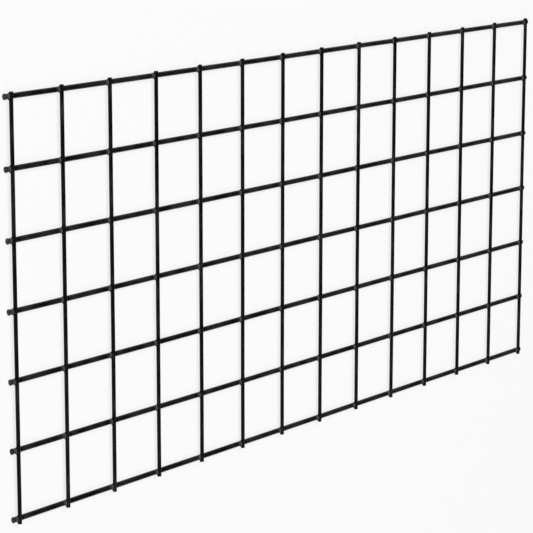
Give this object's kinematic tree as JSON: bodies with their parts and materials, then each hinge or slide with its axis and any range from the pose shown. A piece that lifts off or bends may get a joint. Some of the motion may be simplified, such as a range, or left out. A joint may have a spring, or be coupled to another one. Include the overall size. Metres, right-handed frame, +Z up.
{
  "type": "welded wire mesh panel",
  "caption": "Flat rectangular panel of square welded wire mesh, with heavier line wires along its length and lighter cross wires welded across them, coated black.",
  "frame": {"origin": "middle of the panel, on the underside of the line wires", "axes": "+X along the line wires, the panel's length; +Y along the cross wires, its width; +Z up from the line wires to the cross wires, its thickness"},
  "size_m": [0.66, 0.307, 0.0055],
  "materials": {
    "coated_wire": "satin black powder coat over low-carbon steel wire"
  },
  "bodies": {
    "root": {"mesh_panel": "coated_wire"}
  },
  "joints": []
}
